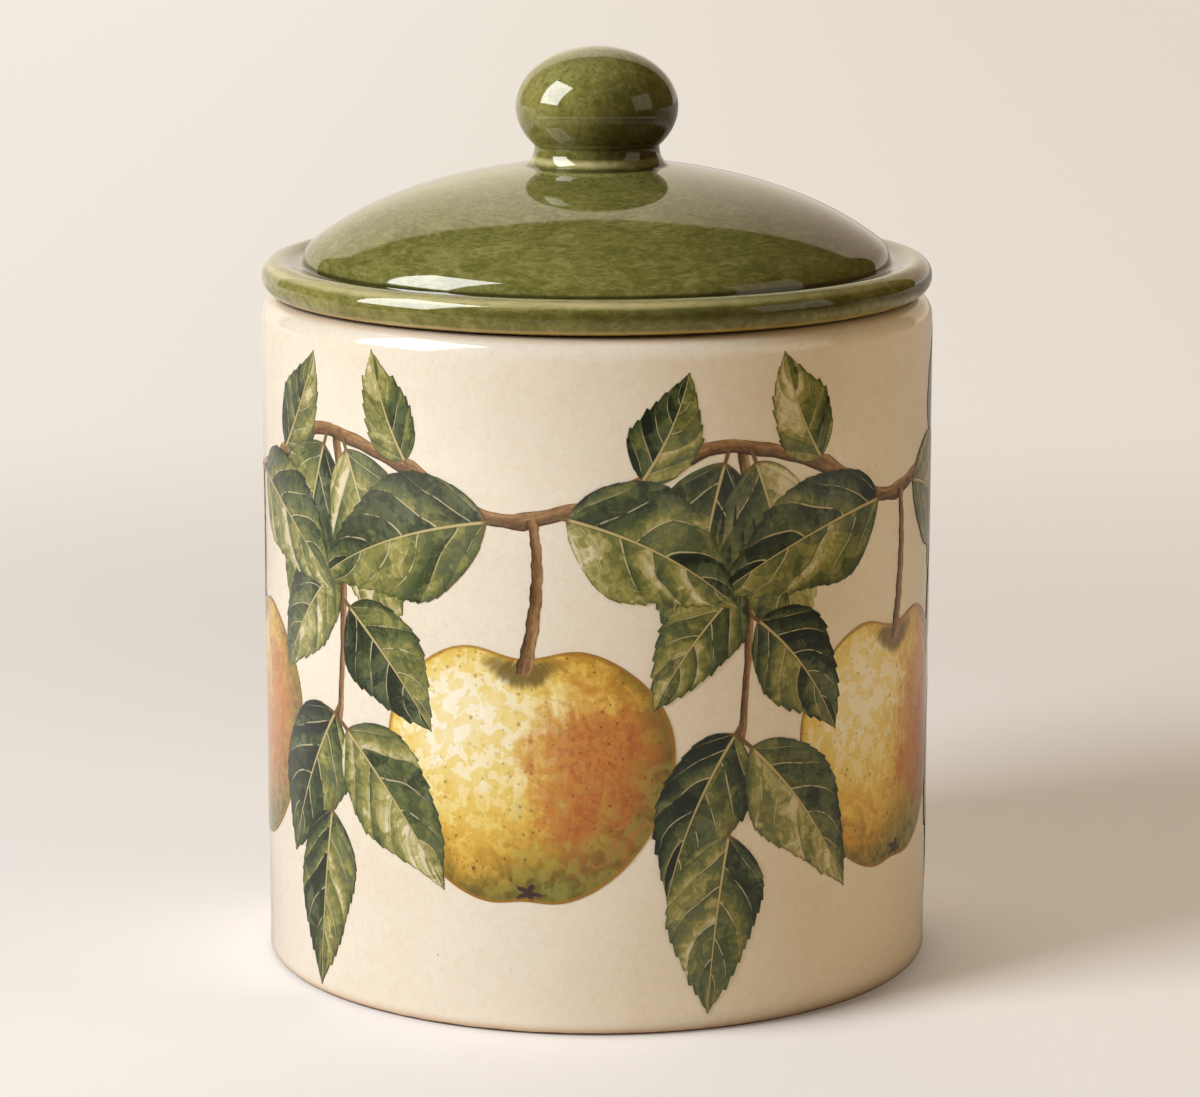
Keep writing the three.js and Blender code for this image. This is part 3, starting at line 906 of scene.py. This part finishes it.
def olive_glaze(name, turned):
    """Olive glaze, mottled, dark where it pools and buff where it runs thin.

    Painted shade darkens the right side, the bead's outward face and the knob under its ball. Painted light
    makes the knob's top and left and the bead's left paler. On the turned lid the mottles are drawn out
    round the axis, and on the knob they are grains.
    """
    material, shader, place = new_material(name)
    across, along, height = place.axes()
    radius = (across * across + along * along) ** 0.5
    to_right = across / (radius + AXIS_EASE)
    past_bead = radius - bead_radius
    above_rim = height - rim_height
    above_crest = height - crest_height
    above_land = height - land_height
    grain_place = place
    if turned:
        drawn_out = {
            0: across / radius * DRAWN_OUT_RADIUS,
            1: along / radius * DRAWN_OUT_RADIUS,
            2: radius - height,
        }
        grain_place = place.add("ShaderNodeCombineXYZ", None, drawn_out)
    cloud = place.noise(CLOUD_SIZE, 4, 0.6, 0.6)
    wisp = grain_place.noise(WISP_SIZE, 4, 0.6, 1.4)
    grain = grain_place.noise(GRAIN_SIZE, 3, 0.6, 0.6)
    crinkle = grain_place.noise(CRINKLE_SIZE, 2, 0.5, 2).band(0.5, 0.03)
    # Painted shade: the glaze is darker towards the right.
    right_shade_weight = 0.1 if turned else 0.45
    glaze = (cloud.rise(0.3, 0.75) * 0.8 + to_right * right_shade_weight).tint(OLIVE, OLIVE_DEEP)
    on_bead = past_bead.rise(*BEAD_START)
    # Painted light and shade: paler on the lit left and on the knob's top, darker on the right.
    if turned:
        painted_light = to_right.rise(-0.4, -0.95) * on_bead * 0.3
        painted_right_shade = to_right.rise(0.1, 1.1) * (1 - on_bead * 0.9) * 0.44
        painted_right_shade = painted_right_shade + to_right.band(0.38, 0.5) * on_bead * 0.28
    else:
        painted_top_light = above_land.rise(*BALL_TOP_LEVEL) * to_right.rise(0.7, 0.1) * 0.36
        painted_light = painted_top_light + above_land.rise(*BALL_SIDE_LEVEL) * to_right.rise(-0.3, -0.8) * 0.4
        painted_right_shade = above_land.rise(*RIGHT_SHADE_LEVEL) * to_right.rise(-0.4, 0.25) * 0.57
    glaze = painted_light.tint(glaze, OLIVE_PALE)
    glaze = (wisp.rise(0.42, 0.78) * 0.7).tint(glaze, OLIVE_PALE)
    glaze = (wisp.rise(0.54, 0.28) * 0.6).tint(glaze, OLIVE_DEEP)
    glaze = (grain.rise(0.48, 0.76) * 0.38).tint(glaze, OLIVE_PALE)
    glaze = (grain.rise(0.52, 0.26) * 0.5).tint(glaze, OLIVE_DEEP)
    glaze = (crinkle * 0.4).tint(glaze, OLIVE_DEEP)
    # Painted shade: the bead's outward face, more to the right, and the knob under its ball.
    painted_bead_shade = on_bead * (height - bead_height).band(*BEAD_SHADE_BAND) * to_right.rise(-1, 0.2) * 0.62
    painted_ball_shade = radius.rise(*BALL_RADII) * above_land.rise(*BALL_SHADE_LEVEL)
    painted_ball_shade = painted_ball_shade * above_land.rise(*OVER_COLLAR_LEVEL) * (0.5 + to_right * 0.4)
    glaze = (painted_bead_shade + painted_ball_shade).tint(glaze, OLIVE_POOL_AND_SHADE)
    glaze = painted_right_shade.tint(glaze, OLIVE_POOL_AND_SHADE)
    # The buff breaks and the hem fade towards the right, as painted shade.
    crest = past_bead.rise(*CREST_START) * above_crest.band(*CREST_BAND)
    crest = crest * (1.3 - to_right.rise(0.05, 0.6) * 0.8)
    collar = radius.rise(*COLLAR_RADII) * above_land.band(*COLLAR_BAND)
    collar = collar * (1.15 - to_right.rise(-0.2, 0.6))
    breaking = (crest + collar) * (0.2 + wisp * 0.8)
    glaze = breaking.math("MINIMUM", 0.8).tint(glaze, BUFF_BREAK)
    hem = on_bead * above_rim.band(*HEM_BAND) * (0.5 + wisp * 0.7)
    hem = hem * (1 - to_right.rise(0.1, 0.7) * 0.35)
    glaze = hem.tint(glaze, HEM_OCHRE)
    valley = past_bead.rise(*VALLEY_START) * above_crest.rise(*VALLEY_LEVEL)
    upper_side = above_rim.rise(*UPPER_SIDE_LEVEL) * radius.rise(*UPPER_SIDE_RADII)
    glaze = (valley * upper_side * 0.85).tint(glaze, OLIVE_POOL_AND_SHADE)
    joint = radius.rise(*JOINT_RADII) * above_land.band(*JOINT_BAND)
    glaze = (joint * (0.75 + to_right * 0.2)).tint(glaze, OLIVE_POOL_AND_SHADE)
    crevice = on_bead * above_rim.rise(*CREVICE_START)
    glaze = (crevice * 0.9).tint(glaze, SEAT_SHADOW)
    seat = above_rim.band(*SEAT_BAND) * radius.rise(skirt_radius, skirt_radius + SEAT_EASE)
    bare = seat * past_bead.rise(0, -SEAT_EASE)
    bare.tint(glaze, bare_clay(place)).feed(shader, "Base Color")
    roughness = OLIVE_ROUGHNESS + wisp * 0.02
    (roughness + bare * (CLAY_ROUGHNESS - GLAZE_ROUGHNESS)).feed(shader, "Roughness")
    glaze_waves(place, OLIVE_RIPPLE, bare).feed(shader, "Normal")
    shader.inputs["IOR"].default_value = GLAZE_IOR
    return material


def angle_at(radius, semi_width):
    """The angle at which an ellipse about the axis has that radius."""
    return math.acos(radius / semi_width)


shoulder_radius = valley_radius - DOME_FOOT_WIDTH
shoulder_lift = dome_semi_height * math.sqrt(1 - (shoulder_radius / dome_semi_width) ** 2)
shoulder_slope = math.atan((dome_semi_height / dome_semi_width) ** 2 * shoulder_radius / shoulder_lift)
foot_centre = (
    shoulder_radius - DOME_FOOT_ROUNDING * math.sin(shoulder_slope),
    dome_centre + shoulder_lift - DOME_FOOT_ROUNDING * math.cos(shoulder_slope),
)
dome_foot = ellipse_points(
    foot_centre, DOME_FOOT_ROUNDING, DOME_FOOT_ROUNDING,
    math.pi / 2 - DOME_FOOT_SLOPE, math.pi / 2 - shoulder_slope, DOME_FOOT_STEPS,
)
foot_end = Vector(dome_foot[0][:2])
valley_curve = interpolate_bezier(
    Vector((bead_radius, crest_height)),
    Vector((bead_radius - VALLEY_WIDTH / 2, crest_height)),
    foot_end + Vector((math.cos(DOME_FOOT_SLOPE), -math.sin(DOME_FOOT_SLOPE))) * VALLEY_DIP,
    foot_end,
    VALLEY_POINTS,
)
lid = turned_piece("lid_glazed", [
    *ellipse_points(
        (0, dome_centre), hollow_semi_width, hollow_semi_height,
        angle_at(VENT_RADIUS, hollow_semi_width), angle_at(skirt_inner - SKIRT_COVE, hollow_semi_width),
        HOLLOW_STEPS,
    ),
    (skirt_inner, cove_corner, SKIRT_COVE),
    (skirt_inner, rim_height - SKIRT_DEPTH, SKIRT_EDGE_RADIUS),
    (skirt_radius, rim_height - SKIRT_DEPTH, SKIRT_EDGE_RADIUS),
    (skirt_radius, groove_bottom, GROOVE_SOFTENING),
    (groove_radius, groove_bottom, GROOVE_SOFTENING),
    (groove_radius, groove_top, GROOVE_SOFTENING),
    (skirt_radius, groove_top, GROOVE_SOFTENING),
    (skirt_radius, rim_height, SKIRT_TOP_RADIUS),
    (bead_radius - SEAT_SETBACK, rim_height, SEAT_SOFTENING),
    (bead_radius - SEAT_SETBACK, rim_height + BEAD_LIFT, SEAT_SOFTENING),
    *ellipse_points(
        (bead_radius, bead_height), BEAD_HALF_WIDTH, BEAD_HALF_HEIGHT, -math.pi / 2, math.pi / 2, BEAD_STEPS,
    ),
    *[(radius, height, 0) for radius, height in valley_curve[1:-1]],
    *dome_foot[:-1],
    *ellipse_points(
        (0, dome_centre), dome_semi_width, dome_semi_height,
        angle_at(shoulder_radius, dome_semi_width), angle_at(KNOB_FOOT_RADIUS, dome_semi_width), DOME_STEPS,
    ),
    (VENT_RADIUS, land_height, 0),
], closed=True)
lid.data.materials.append(olive_glaze("olive_glaze_lid", turned=True))
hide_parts("lid")
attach(lid, "lid")

# Knob: a flattened ball on a coved neck, made by itself, joined to the dome with slip and glazed with it.
# Its core is open below, over the lid's vent, so that the kiln's heat can't burst it.
KNOB_RADIUS = 18.1 * MM
KNOB_HALF_HEIGHT = 13.35 * MM
KNOB_CENTRE_HEIGHT = 13 * MM
NECK_RADIUS = 13.9 * MM
NECK_FLARE = 1.1 * MM
NECK_ROUNDING = 0.9 * MM
WAIST_HEIGHT = 3.3 * MM
NECK_LEAN = math.radians(5)
COVE_FOOT_EASE = 0.42
COVE_NECK_EASE = 0.42
COVE_POINTS = 13
BALL_STEPS = 48
KNOB_CORE_RADIUS = 7 * MM
KNOB_CORE_HEIGHT = 18 * MM
KNOB_CORE_STEPS = 8

ball_height = land_height + KNOB_CENTRE_HEIGHT
waist_height = land_height + WAIST_HEIGHT
flare_angle = angle_at(NECK_RADIUS + NECK_FLARE, KNOB_RADIUS)
flare_height = ball_height - KNOB_HALF_HEIGHT * math.sin(flare_angle)
dome_rise = (dome_semi_height / dome_semi_width) ** 2 * KNOB_FOOT_RADIUS / (land_height - dome_centre)
cove_width = KNOB_FOOT_RADIUS - NECK_RADIUS
cove_foot = Vector((KNOB_FOOT_RADIUS, land_height))
neck_top = Vector((NECK_RADIUS, (waist_height + flare_height) / 2))
down_neck = Vector((math.sin(NECK_LEAN), -math.cos(NECK_LEAN)))
cove_end = neck_top + down_neck * (neck_top.y - waist_height)
cove_curve = interpolate_bezier(
    cove_foot,
    cove_foot + Vector((-1, dome_rise)) * cove_width * COVE_FOOT_EASE,
    cove_end + down_neck * WAIST_HEIGHT * COVE_NECK_EASE,
    cove_end,
    COVE_POINTS,
)
knob = turned_piece("knob_glazed", [
    (KNOB_CORE_RADIUS, land_height, 0),
    *[(radius, height, 0) for radius, height in cove_curve],
    (*neck_top, NECK_ROUNDING),
    *ellipse_points(
        (0, ball_height), KNOB_RADIUS, KNOB_HALF_HEIGHT, -flare_angle, math.pi / 2, BALL_STEPS,
    ),
    *ellipse_points(
        (0, land_height + KNOB_CORE_HEIGHT - KNOB_CORE_RADIUS), KNOB_CORE_RADIUS, KNOB_CORE_RADIUS,
        math.pi / 2, 0, KNOB_CORE_STEPS,
    ),
], closed=True)
knob.data.materials.append(olive_glaze("olive_glaze_knob", turned=False))
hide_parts("knob")
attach(knob, "lid")

# Sealing ring: a moulded silicone band, stretched into the skirt's groove, whose two upswept fins wipe
# the mouth when the lid goes down.
SEAL_CLEARANCE = 0.3 * MM
BAND_THICKNESS = 2 * MM
FIN_ROOT = 1.5 * MM
FIN_TIP = 0.6 * MM
FIN_RISE = 0.7 * MM
FIN_ROOT_SOFTENING = 0.02 * MM
FIN_TIP_SOFTENING = 0.2 * MM
BAND_SOFTENING = 0.25 * MM
SILICONE = colour(226, 222, 210)
SILICONE_SHADE = colour(206, 201, 187)
SILICONE_IOR = 1.42
SILICONE_ROUGHNESS = 0.5
SILICONE_DUST = 0.18
DUST_SIZE = 0.8 * MM
HAZE_PATCH_SIZE = 6 * MM
SKIN_SIZE = 0.35 * MM
SKIN_DEPTH = 0.012 * MM

band_inner = groove_radius + SEAL_CLEARANCE
band_outer = band_inner + BAND_THICKNESS
fin_radius = mouth_radius - SEAL_CLEARANCE
band_bottom = groove_bottom + SEAL_CLEARANCE
band_top = groove_top - SEAL_CLEARANCE
band_middle = (band_bottom + band_top) / 2


def fin_corners(root):
    """The section's corners along one fin, from the height of its root up."""
    return [
        (band_outer, root, FIN_ROOT_SOFTENING),
        (fin_radius, root + FIN_RISE, FIN_TIP_SOFTENING),
        (fin_radius, root + FIN_RISE + FIN_TIP, FIN_TIP_SOFTENING),
        (band_outer, root + FIN_ROOT, BAND_SOFTENING),
    ]


def seal_silicone():
    """Pale silicone, slightly hazy, with a dusty matt skin."""
    material, shader, place = new_material("seal_silicone")
    haze = place.noise(HAZE_PATCH_SIZE, 4, 0.6).rise(0.3, 0.7)
    haze.tint(SILICONE, SILICONE_SHADE).feed(shader, "Base Color")
    (SILICONE_ROUGHNESS + place.noise(DUST_SIZE, 3) * SILICONE_DUST).feed(shader, "Roughness")
    skin = place.noise(SKIN_SIZE, 3) * SKIN_DEPTH
    place.add("ShaderNodeBump", None, {"Strength": 1, "Distance": 1, "Height": skin}).feed(shader, "Normal")
    shader.inputs["IOR"].default_value = SILICONE_IOR
    return material


seal = turned_piece("lid_gasket_moulded", [
    (band_inner, band_bottom, BAND_SOFTENING),
    *fin_corners(band_bottom),
    *fin_corners(band_middle),
    (band_outer, band_top, BAND_SOFTENING),
    (band_inner, band_top, BAND_SOFTENING),
], closed=True)
seal.data.materials.append(seal_silicone())
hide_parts("lid_gasket")
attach(seal, "lid")

# Studio: a pale seamless floor, a window at the left, a weak one at the right and a bright backdrop, in an
# otherwise dim and warm room. The glaze mirrors the floor as a dim table with a gleaming edge.
FLOOR_SIZE = 8
FLOOR_CREAM = colour(233, 232, 230)
FLOOR_LIFT = colour(138, 127, 117)
FLOOR_BOUNCE = colour(250, 230, 196)
FLOOR_ROUGHNESS = 0.9
FLOOR_SHEEN = 0.1
TABLE_RADIUS = 0.7
TABLE_EDGE_WIDTH = 0.16
EDGE_GLEAM = tuple(1.6 * part for part in colour(250, 240, 220))
BACKDROP_LEFT = colour(240, 232, 221)
BACKDROP_RIGHT = colour(224, 214, 201)
BLACK = (0, 0, 0, 1)
SHADE_REACH = 5 * MM
SHADE_REACH_RIGHT = 20 * MM
SHADE_REACH_FAR_RIGHT = 25 * MM
floor_shape = bmesh.new()
bmesh.ops.create_grid(floor_shape, x_segments=1, y_segments=1, size=FLOOR_SIZE)
studio_floor = finished_piece("studio_floor", floor_shape)
floor_material, floor_shader, floor_place = new_material("floor_paper")
floor_x, floor_y, _ = floor_place.axes()


def ray_kinds(tree):
    """Two wires: 1 where the camera sees a surface straight, and 1 where it sees it in gloss or glass."""
    straight = Wire(tree).add("ShaderNodeLightPath", output="Is Camera Ray")
    glossy = Wire(tree, straight.socket.node.outputs["Is Glossy Ray"])
    through = Wire(tree, straight.socket.node.outputs["Is Transmission Ray"])
    return straight, glossy.math("MAXIMUM", through)


floor_straight, floor_mirrored = ray_kinds(floor_material.node_tree)
seen = floor_straight.math("MAXIMUM", floor_mirrored)
from_axis = (floor_x * floor_x + floor_y * floor_y).math("SQRT")
far = from_axis.rise(0.2, 0.75)
near = from_axis.rise(0.6, 0.25)
behind = floor_y.rise(-0.05, 0.15)
in_shade = floor_x.rise(-0.15, 0.25)
far_back = floor_y.rise(0.3, 1) * (0.45 - in_shade * 0.25)
dimmed = floor_mirrored * (0.95 - near * 0.4 - behind * (0.5 - in_shade * 0.25) - far_back)
gleam = floor_mirrored * from_axis.band(TABLE_RADIUS, TABLE_EDGE_WIDTH) * (1 - behind)
gleam = gleam * (0.35 + floor_x.rise(0.1, -0.5) * 0.65)
# Painted shade: the floor is darker close to the foot, most on the side away from the window.
side = floor_x / from_axis
off_foot = (from_axis - body_radius).math("MAXIMUM", 0)
shade_reach = SHADE_REACH + side.rise(0.2, 0.8) * SHADE_REACH_RIGHT
shade_reach = shade_reach + side.rise(0.85, 1) * SHADE_REACH_FAR_RIGHT
shade_depth = side.rise(-0.5, 0.2) * 0.2 + side.band(0.66, 0.6) * 0.42
shade_depth = shade_depth * (1 - floor_y.rise(-0.02, 0.05) * 0.8)
shade = (off_foot / shade_reach).math("SQRT").rise(1, 0) * shade_depth
paper = (far * seen).math("MAXIMUM", dimmed).tint(seen.tint(FLOOR_BOUNCE, FLOOR_CREAM), BLACK)
shade.tint(paper, FOOT_SHADE_BROWN).feed(floor_shader, "Base Color")
backdrop_tone = floor_x.rise(-0.5, 0.5).tint(BACKDROP_LEFT, BACKDROP_RIGHT)
floor_glow = (seen - dimmed).tint(BLACK, far.tint(FLOOR_LIFT, backdrop_tone))
floor_glow = shade.tint(floor_glow, FOOT_SHADE_BROWN)
gleam.tint(floor_glow, EDGE_GLEAM).feed(floor_shader, "Emission Color")
floor_shader.inputs["Emission Strength"].default_value = 1
floor_shader.inputs["Roughness"].default_value = FLOOR_ROUGHNESS
floor_shader.inputs["Specular IOR Level"].default_value = FLOOR_SHEEN
studio_floor.data.materials.append(floor_material)

LAMP_DISTANCE = 1.4


def softbox(name, azimuth, elevation, size, watts, tone, as_glint):
    """A rectangular lamp that faces the canister, and either lights it or shows as a glint in the glaze.

    Azimuth 0 is behind the canister and 90 at the right, as the camera sees it.
    """
    turn = math.radians(azimuth)
    lift = math.radians(elevation)
    way = Vector((math.sin(turn) * math.cos(lift), math.cos(turn) * math.cos(lift), math.sin(lift)))
    lamp = bpy.data.lights.new(name, "AREA")
    lamp.shape = "RECTANGLE"
    lamp.size, lamp.size_y = size
    lamp.energy = watts
    lamp.color = tone
    box = bpy.data.objects.new(name, lamp)
    box.location = Vector((0, 0, cad_box[1].z / 2)) + way * LAMP_DISTANCE
    box.rotation_euler = way.to_track_quat("Z", "Y").to_euler()
    box.visible_diffuse = not as_glint
    box.visible_glossy = as_glint
    bpy.context.scene.collection.objects.link(box)


softbox("window_left", -122, 31, size=(0.55, 0.65), watts=18.4, tone=(0.94, 0.98, 1.04), as_glint=False)
softbox("window_left_glint", -107, 35.5, size=(0.76, 1.06), watts=27.5, tone=(1, 1, 0.98), as_glint=True)
softbox("window_right", 102, 19, size=(0.5, 0.6), watts=3.6, tone=(1, 0.82, 0.55), as_glint=False)
softbox("window_right_glint", 110, 19, size=(0.75, 0.75), watts=1.1, tone=(1, 0.92, 0.8), as_glint=True)

BACKDROP_TOP = math.radians(49)
BACKDROP_HALF_WIDTH = math.radians(42)
BACKDROP_EDGE = 0.012
ROOM_WARM = colour(129, 104, 70)
ROOM_OVERHEAD = colour(62, 56, 44)
GLOW_LEFT = tuple(1.06 * part for part in colour(252, 238, 214))
GLOW_MIDDLE = tuple(1.35 * part for part in colour(252, 238, 214))
GLOW_RIGHT = colour(208, 186, 168)
GLOW_LOW = colour(240, 232, 220)
world = bpy.data.worlds.new("studio")
bpy.context.scene.world = world
world.use_nodes = True
sky = world.node_tree.nodes["Background"]
room = Wire(world.node_tree).add("ShaderNodeTexCoord", output="Generated")
to_right, to_back, upward = room.axes()
bearing = to_right.math("ARCTAN2", to_back).math("ABSOLUTE") / BACKDROP_HALF_WIDTH
top_edge = BACKDROP_TOP * (1 - bearing ** 3)
backdrop = (top_edge - upward.math("ARCSINE")).rise(-BACKDROP_EDGE, BACKDROP_EDGE)
sky_straight, sky_mirrored = ray_kinds(world.node_tree)
walls = upward.rise(0.25, 0.7).tint(ROOM_WARM, ROOM_OVERHEAD)
walls = (sky_mirrored * 0.5).tint(walls, BLACK)
backdrop_glow = to_right.rise(-0.3, -0.1).tint(GLOW_LEFT, GLOW_MIDDLE)
backdrop_glow = to_right.rise(-0.1, 0.4).tint(backdrop_glow, GLOW_RIGHT)
backdrop_glow = (upward.rise(0.22, 0) * 0.8).tint(backdrop_glow, GLOW_LOW)
room_light = backdrop.tint(walls, backdrop_glow)
sky_straight.tint(room_light, BACKDROP_LEFT).feed(sky, "Color")
sky.inputs["Strength"].default_value = 1

CAMERA_PLACE = (0.7 * MM, -948.5 * MM, 282.4 * MM)
CAMERA_PITCH = math.radians(11.384)
CAMERA_LENS_MM = 128
camera_data = bpy.data.cameras.new("camera")
camera_data.lens = CAMERA_LENS_MM
camera = bpy.data.objects.new("camera", camera_data)
camera.location = CAMERA_PLACE
camera.rotation_euler = (math.pi / 2 - CAMERA_PITCH, 0, 0)
bpy.context.scene.collection.objects.link(camera)
bpy.context.scene.camera = camera
bpy.context.scene.view_settings.view_transform = "Standard"
